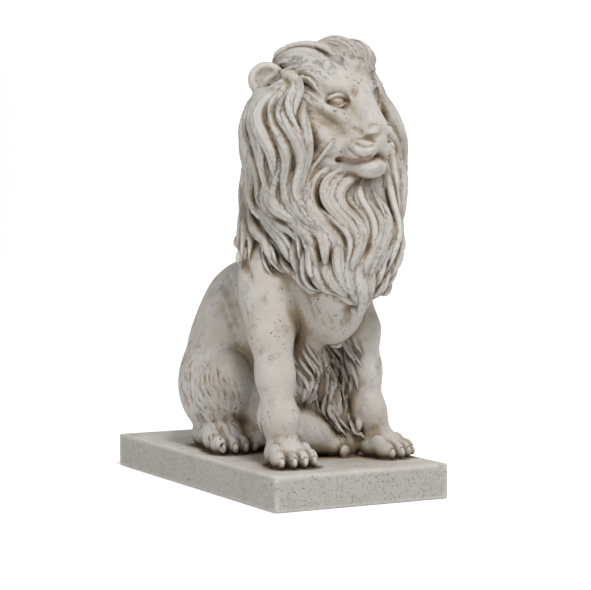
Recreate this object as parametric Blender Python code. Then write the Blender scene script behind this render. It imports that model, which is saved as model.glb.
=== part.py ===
"""A sitting lion, cast in one piece with its flat plinth, as a small garden statue.

The lion is shaped like clay. Round forms are pressed onto a block of signed distances, or cut
from it, each with its own fillet, and the locks of the mane grow over the neck along a field of
directions. The block's skin is then thinned and joined to the plinth.

It looks towards -Y, +X is its own left, and the origin is the middle of the plinth's underside.
"""

import math

import bmesh
import bpy
import numpy as np
import openvdb
from mathutils import Matrix

# Driving dimensions, in metres.
STATUE_HEIGHT = 0.380
PLINTH_LENGTH = 0.310
PLINTH_WIDTH = 0.160
PLINTH_HEIGHT = 0.029
PLINTH_EDGE = 0.0012

# The lion is drawn in units, so many of them from the plinth's top to the crown of its mane,
# and its forms keep their pose and proportions as shares of that height.
DRAWN_HEIGHT = 350.6
CELL = 2.0
TRIANGLES = 9200
SUNK = 6.0

STONE_COLOUR = (0.60, 0.575, 0.53, 1.0)
STONE_ROUGHNESS = 0.85

# The head's own frame lies between the eyes and the ears, turned to the lion's left.
HEAD_AT = (4.0, -80.0, 294.0)
HEAD_TURN = 18.0

# The oval of the face, in the head's frame, and the lowest point of the mane.
FACE_HALF_WIDTH = 31.0
FACE_HALF_HEIGHT = 44.0
FACE_MIDDLE = -14.0
FACE_BACK = 8.0
MANE_TIP = np.array((10.0, -124.0, 116.0))

# Broad locks lie on the neck, and slender ones over them: spacing of the roots, half widths,
# half thickness, and how far above the neck a lock's root and tip lie.
BROAD_LOCKS = (14.0, (5.0, 8.8), 5.6, (-5.0, 5.5))
SLENDER_LOCKS = (19.0, (2.6, 4.4), 3.6, (-1.0, 6.5))
FRINGE_LOCKS = (8.5, (3.6, 6.0), 3.2, (-3.2, 4.0))
BELLY_LOCKS = (7.0, (2.4, 4.2), 2.8, (-2.0, 2.5))
LOCK_LENGTH = (24.0, 100.0)
LOCK_SWING = 0.8
WAVE_LENGTH = 66.0
LOCK_STEPS = 20
LOCK_FILLET = 1.9

FAR = 30.0


def turned(yaw=0.0, pitch=0.0, roll=0.0):
    """Axes, as rows, after a roll about Y, a pitch about X and a yaw about Z, in degrees."""
    turn = Matrix.Rotation(math.radians(yaw), 3, "Z")
    turn = turn @ Matrix.Rotation(math.radians(pitch), 3, "X")
    turn = turn @ Matrix.Rotation(math.radians(roll), 3, "Y")
    return np.array(turn.transposed())


def unit(vectors):
    return vectors / np.maximum(np.linalg.norm(vectors, axis=-1, keepdims=True), 1e-9)


def ramp(value, low, high):
    """Zero below low, one above high, and smooth between."""
    part = np.clip((value - low) / (high - low), 0.0, 1.0)
    return part * part * (3.0 - 2.0 * part)


class Place:
    """A frame to give forms in: its origin, and its axes as rows."""

    def __init__(self, at=(0.0, 0.0, 0.0), axes=None):
        self.at = np.array(at, float)
        self.axes = np.eye(3) if axes is None else np.array(axes, float)

    def point(self, local):
        return self.at + np.array(local, float) @ self.axes

    def local(self, points):
        return (np.asarray(points, float) - self.at) @ self.axes.T


BODY = Place()
HEAD = Place(HEAD_AT, turned(yaw=HEAD_TURN))


def smooth_min(a, b, fillet):
    """The union of two distances, with a fillet where they meet."""
    near = np.maximum(fillet - np.abs(a - b), 0.0) / fillet
    return np.minimum(a, b) - near * near * fillet * 0.25


class Clay:
    """A block of signed distances on a regular grid, below zero inside."""

    def __init__(self, low, high, cell):
        self.low = np.array(low, float)
        self.cell = cell
        counts = np.ceil((np.array(high, float) - self.low) / cell).astype(int) + 1
        self.field = np.full(counts, FAR, np.float32)

    def copy(self):
        other = Clay(self.low, self.low, self.cell)
        other.field = self.field.copy()
        return other

    def window(self, low, high):
        """The slices of the block between two corners, and the coordinates there."""
        top = np.array(self.field.shape)
        start = np.clip(np.floor((np.array(low) - self.low) / self.cell).astype(int), 0, top)
        stop = np.clip(np.ceil((np.array(high) - self.low) / self.cell).astype(int) + 1, start, top)
        slices = tuple(slice(a, b) for a, b in zip(start, stop))
        lines = [
            (self.low[i] + self.cell * np.arange(start[i], stop[i])).astype(np.float32)
            for i in range(3)
        ]
        return slices, np.meshgrid(*lines, indexing="ij", sparse=True)

    def press(self, form, fillet):
        """Adds a form to the clay."""
        reach = fillet + 2.0 * self.cell
        slices, grid = self.window(form.low - reach, form.high + reach)
        self.field[slices] = smooth_min(self.field[slices], form.distance(*grid), fillet)

    def cut(self, form, fillet):
        """Takes a form away from the clay."""
        reach = fillet + 2.0 * self.cell
        slices, grid = self.window(form.low - reach, form.high + reach)
        self.field[slices] = -smooth_min(-self.field[slices], form.distance(*grid), fillet)

    def press_chain(self, forms, fillet):
        """Adds several forms as one, with no fillet between them."""
        reach = fillet + 2.0 * self.cell
        low = np.min([form.low for form in forms], 0) - reach
        high = np.max([form.high for form in forms], 0) + reach
        slices, grid = self.window(low, high)
        shape = self.field[slices].shape
        if 0 in shape:
            return
        both = np.full(shape, FAR, np.float32)
        corner = self.low + self.cell * np.array([s.start for s in slices])
        for form in forms:
            start = np.floor((form.low - reach - corner) / self.cell).astype(int)
            stop = np.ceil((form.high + reach - corner) / self.cell).astype(int) + 1
            start, stop = np.clip(start, 0, shape), np.clip(stop, 0, shape)
            part = tuple(slice(a, b) for a, b in zip(start, stop))
            lines = [
                grid[axis][tuple(part[i] if i == axis else slice(None) for i in range(3))]
                for axis in range(3)
            ]
            both[part] = np.minimum(both[part], form.distance(*lines))
        self.field[slices] = smooth_min(self.field[slices], both, fillet)

    def soften(self):
        """Evens out what is finer than a cell, so that no crease closes on itself."""
        for axis in range(3):
            swapped = np.moveaxis(self.field, axis, 0)
            near = np.concatenate([swapped[:1], swapped, swapped[-1:]])
            swapped = 0.5 * swapped + 0.25 * (near[:-2] + near[2:])
            self.field = np.moveaxis(swapped, 0, axis)

    def sample(self, points):
        """The distance at each point, read between the grid's corners."""
        at = (np.asarray(points, float) - self.low) / self.cell
        at = np.clip(at, 0.0, np.array(self.field.shape) - 1.001)
        base = np.floor(at).astype(int)
        part = at - base
        total = np.zeros(len(at))
        for corner in np.ndindex(2, 2, 2):
            weight = np.prod(np.where(corner, part, 1.0 - part), axis=1)
            index = base + np.array(corner)
            total += weight * self.field[index[:, 0], index[:, 1], index[:, 2]]
        return total

    def outward(self, points, step=3.0):
        """The unit normal of the distance at each point."""
        slope = [self.sample(points + step * a) - self.sample(points - step * a) for a in np.eye(3)]
        return unit(np.stack(slope, 1))

    def skin(self, every=1):
        """The surface, as points in drawn units and four-sided faces."""
        grid = openvdb.FloatGrid(FAR)
        grid.copyFromArray(np.ascontiguousarray(self.field[::every, ::every, ::every]))
        points, faces = grid.convertToQuads(0.0)
        return points * self.cell * every + self.low, faces


class Egg:
    """An ellipsoid with the given radii along its own axes."""

    def __init__(self, centre, radii, axes=None, place=BODY):
        self.centre = place.point(centre)
        self.radii = np.array(radii, float)
        self.axes = (np.eye(3) if axes is None else axes) @ place.axes
        reach = np.sqrt(((self.axes * self.radii[:, None]) ** 2).sum(0))
        self.low, self.high = self.centre - reach, self.centre + reach

    def distance(self, x, y, z):
        x, y, z = x - self.centre[0], y - self.centre[1], z - self.centre[2]
        near, steep = 1e-4, 1e-6
        for axis, radius in zip(self.axes, self.radii):
            along = (axis[0] * x + axis[1] * y + axis[2] * z) / radius
            near = near + along**2
            steep = steep + (along / radius) ** 2
        near = np.sqrt(near)
        return near * (near - 1.0) / np.sqrt(steep)


class Bone:
    """A rounded cone between two balls."""

    def __init__(self, start, end, start_radius, end_radius, place=BODY):
        self.start, self.end = place.point(start), place.point(end)
        self.radii = (start_radius, end_radius)
        self.low = np.minimum(self.start - start_radius, self.end - end_radius)
        self.high = np.maximum(self.start + start_radius, self.end + end_radius)

    def distance(self, x, y, z):
        run = self.end - self.start
        x, y, z = x - self.start[0], y - self.start[1], z - self.start[2]
        along = np.clip((x * run[0] + y * run[1] + z * run[2]) / (run @ run), 0.0, 1.0)
        off = (x - along * run[0]) ** 2 + (y - along * run[1]) ** 2 + (z - along * run[2]) ** 2
        return np.sqrt(off) - self.radii[0] - along * (self.radii[1] - self.radii[0])


class Brick:
    """A box with rounded edges."""

    def __init__(self, centre, halves, rounding, axes=None, place=BODY):
        self.centre = place.point(centre)
        self.halves = np.array(halves, float)
        self.rounding = rounding
        self.axes = (np.eye(3) if axes is None else axes) @ place.axes
        reach = (np.abs(self.axes) * self.halves[:, None]).sum(0)
        self.low, self.high = self.centre - reach, self.centre + reach

    def distance(self, x, y, z):
        x, y, z = x - self.centre[0], y - self.centre[1], z - self.centre[2]
        outside, deepest = 0.0, -FAR
        for axis, half in zip(self.axes, self.halves):
            over = np.abs(axis[0] * x + axis[1] * y + axis[2] * z) - (half - self.rounding)
            outside = outside + np.maximum(over, 0.0) ** 2
            deepest = np.maximum(deepest, over)
        return np.sqrt(outside) + np.minimum(deepest, 0.0) - self.rounding


class Blade:
    """One stretch of a lock of hair: a flat rounded strip."""

    def __init__(self, start, end, out, wide, thick):
        self.start, self.length = start, max(float(np.linalg.norm(end - start)), 1e-6)
        self.along = (end - start) / self.length
        self.out = unit(out - (out @ self.along) * self.along)
        self.across = np.cross(self.out, self.along)
        self.wide, self.thick = wide, thick
        reach = (self.across * max(wide)) ** 2
        reach = np.sqrt(reach + (self.out * max(thick)) ** 2 + (self.along * max(thick)) ** 2)
        self.low = np.minimum(start, end) - reach
        self.high = np.maximum(start, end) + reach

    def distance(self, x, y, z):
        x, y, z = x - self.start[0], y - self.start[1], z - self.start[2]
        along = self.along[0] * x + self.along[1] * y + self.along[2] * z
        part = np.clip(along / self.length, 0.0, 1.0)
        wide = self.wide[0] + part * (self.wide[1] - self.wide[0])
        thick = self.thick[0] + part * (self.thick[1] - self.thick[0])
        side = (self.across[0] * x + self.across[1] * y + self.across[2] * z) / wide
        lift = (self.out[0] * x + self.out[1] * y + self.out[2] * z) / thick
        past = (along - part * self.length) / thick
        near = np.sqrt(side**2 + lift**2 + past**2 + 1e-4)
        steep = np.sqrt((side / wide) ** 2 + (lift**2 + past**2) / thick**2 + 1e-6)
        return near * (near - 1.0) / steep


def string(clay, points, radii, fillet, place=BODY, work=Clay.press):
    """Presses, or cuts, a chain of rounded cones through the points."""
    for a, b, ra, rb in zip(points[:-1], points[1:], radii[:-1], radii[1:]):
        work(clay, Bone(a, b, ra, rb, place), fillet)


def torso(clay):
    clay.press(Egg((0, -46, 152), (45, 46, 60), turned(pitch=-12)), 10)
    clay.press(Egg((0, 10, 112), (44, 54, 52), turned(pitch=-34)), 20)
    clay.press(Egg((0, 36, 106), (46, 52, 58)), 20)
    clay.press(Egg((0, 45, 71), (53, 58, 53)), 20)
    clay.press(Egg((5, -90, 134), (31, 28, 38)), 12)


def haunch(clay, side):
    """A thigh, its knee, and the hind foot under it."""
    clay.press(Egg((side * 43, 32, 55), (26, 46, 43), turned(pitch=-10)), 8)
    clay.press(Egg((side * 46, -8, 58), (18, 21, 28), turned(pitch=14)), 10)
    string(clay, [(side * 44, 44, 10), (side * 46, 16, 13)], (13, 14), 5)
    clay.press(Egg((side * 47, 6, 17), (15, 22, 13), turned(pitch=-16)), 5)
    paw(clay, (side * 47, -4, 0), -4.0 * side, 1.06)


def foreleg(clay, side):
    """A fore leg from the shoulder blade down to its paw. The left one stands a little wider."""
    if side < 0:
        blade, elbow, wrist = (-38, -56, 146), (-43, -77, 106), (-44.5, -95, 38)
        toes, turn = (-43, -107, 0), -2.0
    else:
        blade, elbow, wrist = (38, -50, 146), (44, -70, 106), (47, -80, 38)
        toes, turn = (56, -93, 0), 24.0
    clay.press(Egg(blade, (19, 26, 48), turned(pitch=-14)), 12)
    clay.press(Egg((blade[0] + side * 5, blade[1] - 8, 128), (15, 19, 26), turned(pitch=-10)), 8)
    middle = tuple((a + b) / 2 for a, b in zip(elbow, wrist))
    string(clay, [blade, elbow, middle, wrist], (18, 17, 14.5, 13), 10)
    clay.press(Egg((wrist[0], wrist[1] - 3, wrist[2]), (13.5, 14, 14)), 8)
    clay.press(Egg((elbow[0], elbow[1] + 14, elbow[2] - 6), (10, 11, 16)), 8)
    string(clay, [wrist, (toes[0], toes[1] + 8, 12)], (12.5, 13), 8)
    clay.press(Egg((wrist[0] - side * 13, wrist[1] - 8, 28), (2.6, 3.4, 6), turned(pitch=-10)), 1.5)
    paw(clay, toes, turn, 1.0)


def paw(clay, at, turn, size):
    """Four toes with their knuckles and claws, and the back of the paw, round a point."""
    place = Place(at, turned(yaw=turn))
    clay.press(Egg((0, 3, 9 * size), (18 * size, 19 * size, 12 * size), place=place), 6)
    for toe in (-1.5, -0.5, 0.5, 1.5):
        front = -(14 - 1.5 * toe * toe) * size
        across = toe * 9.6 * size
        clay.press(Egg((across, front, 7.2 * size), (5.5 * size, 9 * size, 7.6 * size), place=place), 0.8)
        knuckle = (across * 0.92, front + 8 * size, 12 * size)
        clay.press(Egg(knuckle, (5.2 * size, 8 * size, 7.5 * size), place=place), 1.2)
        claw = (across, front - 7.8 * size, 5.2 * size)
        clay.cut(Egg(claw, (2.9 * size, 2.4 * size, 4.8 * size), place=place), 0.8)
        clay.press(Egg(claw, (2.1 * size, 2.8 * size, 4.0 * size), place=place), 0.3)


def belly_fur(clay):
    """The bulk that fills the room between the legs, and the hind paw that shows before it."""
    clay.press(Egg((0, -12, 42), (32, 46, 50)), 12)
    clay.press(Egg((8, -52, 62), (26, 15, 60)), 8)
    clay.press(Egg((30, -50, 50), (18, 22, 56)), 8)
    clay.press(Egg((32, -60, 14), (16, 22, 26)), 6)
    string(clay, [(-6, -80, 112), (-7, -72, 84), (-7, -70, 56)], (12, 11, 8), 6)
    string(clay, [(2, -68, 84), (12, -68, 58), (20, -71, 40), (26, -74, 26)], (10, 9, 7, 3.0), 5)
    string(clay, [(-8, -58, 30), (2, -65, 19), (17, -73, 9.5)], (15, 16, 9), 4)
    for y in (-83, -78, -72):
        clay.press(Egg((25 + (y + 77) * 0.2, y, 5), (5.5, 3.4, 5.5), turned(yaw=20)), 0.8)


def belly_flow(points):
    """The fur under the belly hangs, and leans in towards the left fore leg."""
    return unit(np.tile((0.25, -0.1, -1.0), (len(points), 1)))


def belly_locks(clay):
    """Short locks over the fur between the legs."""
    chance = np.random.default_rng(5)
    core = clay.copy()
    points, _ = core.skin(every=max(int(4.0 / core.cell), 1))
    x, y, z = points.T
    place = (np.abs(x - 6) < 24) & (y > -86) & (y < -48) & (z > 34) & (z < 108)
    place &= z > 52 - 1.1 * (x - 2)
    roots = scatter(points[place], BELLY_LOCKS[0], chance)
    length = 22.0 + 14.0 * chance.random(len(roots))
    Locks(core, roots, belly_flow, length, BELLY_LOCKS, chance).press(clay)


def tail(clay):
    """The tail lies on the plinth, round the left haunch, and ends in a tuft."""
    way = [(4, 98, 22), (14, 112, 11), (38, 112, 8), (58, 92, 8), (66, 66, 8), (66, 40, 8)]
    string(clay, way, (11, 9, 7.5, 6.5, 6, 6), 5)
    clay.press(Egg((64, 22, 9), (9, 24, 9), turned(yaw=-6)), 4)


def neck(clay):
    """The bulk under the mane."""
    clay.press(Egg((4, -64, 184), (60, 55, 60)), 14)
    clay.press(Egg((7, -63, 228), (63, 56, 58), turned(yaw=-28)), 14)
    clay.press(Egg((9, -60, 272), (59, 54, 48)), 14)
    clay.press(Egg((4, 12, 16), (33, 26, 18), place=HEAD), 10)
    clay.press(Egg((-43, 4, -14), (23, 24, 26), place=HEAD), 8)
    clay.press(Egg((42, -7, -2), (23.5, 25, 34), place=HEAD), 8)
    clay.press(Egg((10, -110, 174), (40, 26, 52), turned(pitch=-6)), 12)


def tuft(clay):
    """The hair that stands up over the forehead."""
    clay.press(Egg((4, -14, 34), (29, 25, 17.0), place=HEAD), 4)
    for side in (-1, 1):
        clay.press(Egg((side * 20, 2, 28), (19, 24, 13), place=HEAD), 6)


def head(clay):
    """The skull, the long straight bridge of the nose, the muzzle and the chin."""

    def egg(centre, radii, fillet, axes=None):
        clay.press(Egg(centre, radii, axes, HEAD), fillet)

    def bone(start, end, start_radius, end_radius, fillet):
        clay.press(Bone(start, end, start_radius, end_radius, HEAD), fillet)

    egg((0, 2, 2), (37, 40, 40), 8)
    egg((0, -14, 14), (31, 22, 19), 8)
    clay.press(Brick((0, -40, -5), (12.5, 29, 13), 8, turned(pitch=55), HEAD), 8)
    egg((0, -38, 4), (11, 11, 17), 6)
    egg((0, -46, -31), (18, 19, 14), 7)
    egg((0, -50.5, -52), (16, 13.5, 9.5), 1.5)
    for side in (-1, 1):
        egg((side * 15, -29, 12), (14, 9, 6), 7, turned(yaw=side * 24, roll=side * -8))
        egg((side * 31, -16, -2), (8, 17, 7), 10, turned(yaw=side * -22, pitch=30))
        egg((side * 22, -34, -14), (9, 15, 9), 10, turned(yaw=side * -28, pitch=30))
        egg((side * 25, -18, -24), (14, 19, 18), 9)
        bone((side * 8, -40, -52), (side * 24, -12, -43), 8, 12, 5)
        egg((side * 10.5, -50.5, -36.5), (13.5, 15.5, 10.5), 3, turned(yaw=side * -12, roll=side * 10))
    clay.press(Brick((0, -60, -24.5), (14.6, 7.5, 4.5), 3, turned(pitch=-6), HEAD), 2.5)
    egg((0, -59.5, -29.5), (10.5, 8, 7), 2)
    for side in (-1, 1):
        face_side(clay, side)
    string(clay, [(0, -68, -30), (0, -66.5, -41)], (0.9, 1.2), 1.0, HEAD, Clay.cut)


def face_side(clay, side):
    """The eye, the nostril and the corner of the mouth on one side."""
    clay.cut(Egg((side * 12.5, -45.5, 8), (4, 5, 7), turned(yaw=side * 30), HEAD), 3)
    clay.cut(Egg((side * 33, -35, -19), (8, 13, 6), turned(yaw=side * -30, pitch=25), HEAD), 6)
    eye(clay, side)
    string(clay, [(side * 8.5, -68, -28), (side * 13.5, -63, -27)], (2.2, 1.4), 1.0, HEAD, Clay.cut)
    lips = [(0, -66, -42), (side * 5, -66, -43), (side * 12.5, -61, -46), (side * 17.5, -52, -48.5)]
    lips.append((side * 21, -40, -47))
    string(clay, lips, (1.8, 1.8, 2.2, 2.2, 3.2), 1.2, HEAD, Clay.cut)


def eye(clay, side):
    """An eyeball in its socket."""
    middle = np.array((side * 17.5, -31.5, 0.6))
    out = unit(np.array((side * 5.4, -7.6, 0.0)))
    axes = turned(yaw=side * 35.4)
    clay.cut(Egg(middle + 3.5 * out, (9.6, 6.0, 6.2), axes, HEAD), 3)
    clay.press(Egg(middle - 3.2 * out, (8.6, 8.4, 6.4), axes, HEAD), 0.6)


def ear(clay, side):
    """A round cup that opens forwards and outwards, clear of the hair."""
    axes = turned(yaw=side * 40, roll=side * 14)
    middle = np.array((side * 46.5, 19.5, 19.0))
    out = np.array((side * 0.64, -0.77, 0.0))
    clay.cut(Egg(middle + 11 * out, (10.5, 10, 10.5), axes, HEAD), 3)
    clay.press(Bone((side * 32, 18, 10), (side * 39, 23, 15), 12, 10, HEAD), 5)
    clay.press(Egg(middle, (15.2, 8.4, 14.6), axes, HEAD), 2.5)
    clay.cut(Egg(middle + 7.0 * out + np.array((side, 0, 0.6)), (11.4, 6.6, 10.8), axes, HEAD), 1.5)
    fold = [middle + np.array((side * -9.0, -3.0, 5.0)) + 3 * out]
    fold.append(middle + np.array((side * -2.0, 2.0, -3.0)))
    string(clay, fold, (3.4, 2.0), 3.0, HEAD)
    clay.cut(Egg(middle + 0.8 * out + np.array((side * -4.0, 0.0, -6.0)), (4.2, 3.0, 2.4), axes, HEAD), 1.0)


def scatter(points, spacing, chance):
    """A choice of the points, no two closer than the spacing."""
    chosen = points[:0]
    for index in chance.permutation(len(points)):
        point = points[index]
        if not len(chosen) or ((chosen - point) ** 2).sum(1).min() > spacing**2:
            chosen = np.vstack([chosen, point])
    return chosen


def off_face(points):
    """How far a point lies from the middle of the face's oval, which is at one."""
    local = HEAD.local(points)
    return np.hypot(local[:, 0] / FACE_HALF_WIDTH, (local[:, 2] - FACE_MIDDLE) / FACE_HALF_HEIGHT)


def near_ear(points):
    mirrored = HEAD.local(points)
    mirrored[:, 0] = np.abs(mirrored[:, 0])
    return np.linalg.norm(mirrored - np.array((46, 16, 21)), axis=1) < 17.0


def mane_foot(points):
    """The height at which the mane ends: low on the chest, and higher round the sides."""
    aside = 0.85 * np.abs(points[:, 0] - MANE_TIP[0])
    return MANE_TIP[2] + aside + np.maximum(points[:, 1] + 60.0, 0.0)


def mane_flow(points):
    """The way the hair runs: away from the face, then down, then in to the chest's tip."""
    local = HEAD.local(points)
    spread = np.stack([local[:, 0], 0.0 * local[:, 1], local[:, 2] - FACE_MIDDLE], 1)
    spread = unit(spread)
    spread[:, 1] = 0.8
    spread = unit(spread) @ HEAD.axes
    near_face = 1.0 - ramp(off_face(points), 1.0, 1.7)
    near_face = np.maximum(near_face, ramp(local[:, 2], 18.0, 36.0))
    near_face = (near_face * (1.0 - ramp(local[:, 1], 30.0, 60.0)))[:, None]
    closing = 1.0 - ramp(points[:, 2], 190.0, 285.0)
    closing = (closing * (1.0 - ramp(points[:, 1], -100.0, -35.0)))[:, None]
    down = np.array([0.0, 0.0, -1.0]) * (1.0 - closing)
    onward = down + 1.2 * closing * unit(MANE_TIP + np.array([0.0, 0.0, 14.0]) - points)
    return unit(1.3 * near_face * spread + (1.0 - near_face) * onward)


def wave_phase(points):
    """Where each point lies in the waves that run through the whole mane."""
    slant = np.sin(0.05 * points[:, 0] + 0.03 * points[:, 1])
    return 2.0 * math.pi * points[:, 2] / WAVE_LENGTH + 0.9 * slant


class Locks:
    """Many locks, grown together over the clay from their roots."""

    def __init__(self, core, roots, flow, length, kind, chance):
        _, (narrow, broad), self.thick, (sunk, raised) = kind
        count = len(roots)
        size = np.clip(length / 60.0, 0.6, 1.0)
        self.wide = (narrow + (broad - narrow) * chance.random(count)) * size
        self.roll = np.radians(26.0) * (2.0 * chance.random(count) - 1.0)
        swing = LOCK_SWING * (0.7 + 0.6 * chance.random(count))
        phase = 0.9 * chance.random(count)
        rise = raised * size * (0.5 + chance.random(count))
        here = np.array(roots, float)
        points, outs = [], []
        for step in range(LOCK_STEPS + 1):
            part = step / LOCK_STEPS
            out = core.outward(here)
            level = sunk + (rise - sunk) * math.sin(0.5 * math.pi * min(part / 0.8, 1.0))
            level = level - 0.5 * rise * ramp(part, 0.75, 1.0)
            here = here - (core.sample(here) - level)[:, None] * out
            points.append(here)
            outs.append(out)
            way = flow(here)
            way = unit(way - (way * out).sum(1, keepdims=True) * out)
            calm = 0.25 + 0.75 * ramp(np.linalg.norm(MANE_TIP - here, axis=1), 15.0, 80.0)
            calm = calm * (1.0 - 0.7 * ramp(HEAD.local(here)[:, 2], 20.0, 40.0))
            turn = swing * calm * np.sin(phase + wave_phase(here))
            way = unit(way + turn[:, None] * np.cross(out, way))
            here = here + way * (length / LOCK_STEPS)[:, None]
        self.points, self.outs = np.array(points), np.array(outs)

    def share(self, step):
        """How wide a lock is along its length, as a share of its widest."""
        part = step / LOCK_STEPS
        return (0.45 + 0.55 * math.sin(math.pi * min(part * 1.25, 0.5))) * (1.0 - part**2.6) + 0.05

    def press(self, clay):
        for lock in range(self.points.shape[1]):
            blades = []
            for step in range(LOCK_STEPS):
                start, end = self.points[step, lock], self.points[step + 1, lock]
                out = self.outs[step, lock]
                across = unit(np.cross(out, end - start))
                out = math.cos(self.roll[lock]) * out + math.sin(self.roll[lock]) * across
                shares = (self.share(step), self.share(step + 1))
                wide = [max(self.wide[lock] * share, 0.6) for share in shares]
                thick = [max(self.thick * min(share * 1.3, 1.0), 0.6) for share in shares]
                blades.append(Blade(start, end, out, wide, thick))
            clay.press_chain(blades, LOCK_FILLET)


def mane(clay):
    """The mane, as locks over the neck and the back of the head."""
    chance = np.random.default_rng(11)
    core = clay.copy()
    points, _ = core.skin(every=max(int(4.0 / core.cell), 1))
    room = points[:, 2] - mane_foot(points)
    on_face = (off_face(points) < 1.05) & (HEAD.local(points)[:, 1] < FACE_BACK)
    keep = (room > 10.0) & ~on_face & ~near_ear(points)
    fringe = (off_face(points) > 0.98) & (off_face(points) < 1.2) & ~near_ear(points)
    fringe &= np.abs(HEAD.local(points)[:, 1] + 12.0) < 26.0
    for kind, place in ((BROAD_LOCKS, keep), (SLENDER_LOCKS, keep), (FRINGE_LOCKS, fringe)):
        roots = scatter(points[place], kind[0], chance)
        room = roots[:, 2] - mane_foot(roots)
        length = np.clip(room * 1.1 + 16.0 * chance.random(len(roots)), *LOCK_LENGTH)
        length = np.minimum(length, np.linalg.norm(MANE_TIP - roots, axis=1) + 6.0)
        Locks(core, roots, mane_flow, length, kind, chance).press(clay)


def sculpt(cell):
    """The whole lion as clay, with the plinth's top at zero, in drawn units."""
    clay = Clay((-84, -160, -SUNK - 3 * cell), (84, 140, DRAWN_HEIGHT + 12), cell)
    torso(clay)
    for side in (-1, 1):
        haunch(clay, side)
        foreleg(clay, side)
    belly_fur(clay)
    tail(clay)
    neck(clay)
    tuft(clay)
    head(clay)
    mane(clay)
    belly_locks(clay)
    for side in (-1, 1):
        ear(clay, side)
    clay.soften()
    return clay


def stone():
    """A pale, dull cast stone."""
    material = bpy.data.materials.new("cast_stone")
    material.use_nodes = True
    shader = material.node_tree.nodes["Principled BSDF"]
    shader.inputs["Base Color"].default_value = STONE_COLOUR
    shader.inputs["Roughness"].default_value = STONE_ROUGHNESS
    shader.inputs["Metallic"].default_value = 0.0
    return material


def largest_shell(mesh):
    """Drops every loose part of the mesh but the one with the most faces."""
    shape = bmesh.new()
    shape.from_mesh(mesh)
    shape.faces.ensure_lookup_table()
    left = set(shape.faces)
    shells = []
    while left:
        shell, edge = set(), [left.pop()]
        while edge:
            face = edge.pop()
            shell.add(face)
            for line in face.edges:
                for other in line.link_faces:
                    if other in left:
                        left.remove(other)
                        edge.append(other)
        shells.append(shell)
    shells.sort(key=len)
    loose = [face for shell in shells[:-1] for face in shell]
    bmesh.ops.delete(shape, geom=loose, context="FACES")
    bmesh.ops.delete(shape, geom=[v for v in shape.verts if not v.link_faces], context="VERTS")
    shape.to_mesh(mesh)
    shape.free()


def lion_mesh(clay, name):
    """The clay's skin as a mesh, in metres, with the plinth's top at zero."""
    scale = (STATUE_HEIGHT - PLINTH_HEIGHT) / DRAWN_HEIGHT
    points, faces = clay.skin()
    mesh = bpy.data.meshes.new(name)
    mesh.from_pydata((points * scale).tolist(), [], faces[:, ::-1].tolist())
    mesh.validate()
    largest_shell(mesh)
    return mesh


def plinth(name):
    """The slab under the lion, with its edges broken."""
    shape = bmesh.new()
    bmesh.ops.create_cube(shape, size=1.0)
    size = Matrix.Diagonal((PLINTH_WIDTH, PLINTH_LENGTH, PLINTH_HEIGHT, 1.0))
    middle = Matrix.Translation((0.0, 0.0, PLINTH_HEIGHT / 2))
    bmesh.ops.transform(shape, matrix=middle @ size, verts=shape.verts)
    bmesh.ops.bevel(shape, geom=shape.edges, offset=PLINTH_EDGE, segments=1, affect="EDGES")
    mesh = bpy.data.meshes.new(name)
    shape.to_mesh(mesh)
    shape.free()
    return mesh


def main():
    for old in list(bpy.data.objects):
        bpy.data.objects.remove(old)
    parts = bpy.data.collections.new("sitting_lion")
    cutters = bpy.data.collections.new("cutters")
    bpy.context.scene.collection.children.link(parts)
    bpy.context.scene.collection.children.link(cutters)
    material = stone()

    slab = bpy.data.objects.new("plinth_slab", plinth("plinth_slab"))
    slab.hide_render = True
    slab.display_type = "WIRE"
    cutters.objects.link(slab)

    mesh = lion_mesh(sculpt(CELL), "lion_statue")
    mesh.transform(Matrix.Translation((0.0, 0.0, PLINTH_HEIGHT)))
    mesh.materials.append(material)
    lion = bpy.data.objects.new("lion_statue", mesh)
    parts.objects.link(lion)
    triangles = sum(len(face.vertices) - 2 for face in mesh.polygons)
    thin = lion.modifiers.new("thin", "DECIMATE")
    thin.ratio = TRIANGLES / triangles
    join = lion.modifiers.new("join", "BOOLEAN")
    join.operation = "UNION"
    join.solver = "EXACT"
    join.object = slab


if __name__ == "__main__":
    main()
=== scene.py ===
"""A sitting lion, cast in stone in one piece with its flat plinth, as a small garden statue.

The lion is shaped like clay. Round forms are pressed onto a block of signed distances, or cut
from it, each with its own fillet, and the locks of the mane grow over the neck along a field of
directions. The block's skin is one mesh, which stands for the whole casting, and the dirt and
the painted shade on the stone follow how deep each point of that skin lies.

It looks towards -Y, +X is its own left, and the origin is the middle of the plinth's underside.
"""

import math

import bmesh
import bpy
import numpy as np
import openvdb
from mathutils import Matrix, Vector
from mathutils.kdtree import KDTree


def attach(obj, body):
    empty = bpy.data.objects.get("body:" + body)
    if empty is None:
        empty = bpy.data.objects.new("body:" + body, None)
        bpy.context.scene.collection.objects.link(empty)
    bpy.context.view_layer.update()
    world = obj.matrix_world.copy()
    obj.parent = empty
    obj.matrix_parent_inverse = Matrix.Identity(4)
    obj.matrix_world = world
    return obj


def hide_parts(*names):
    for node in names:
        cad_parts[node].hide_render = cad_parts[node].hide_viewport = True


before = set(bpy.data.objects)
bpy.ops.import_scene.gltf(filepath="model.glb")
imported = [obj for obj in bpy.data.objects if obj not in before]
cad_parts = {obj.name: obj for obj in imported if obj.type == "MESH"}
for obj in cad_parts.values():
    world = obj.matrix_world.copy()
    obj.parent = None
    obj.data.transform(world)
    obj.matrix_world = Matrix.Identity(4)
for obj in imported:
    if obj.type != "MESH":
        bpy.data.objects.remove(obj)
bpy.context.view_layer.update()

# Driving dimensions, in metres.
STATUE_HEIGHT = 0.380
PLINTH_LENGTH = 0.310
PLINTH_WIDTH = 0.160
PLINTH_HEIGHT = 0.029
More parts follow.
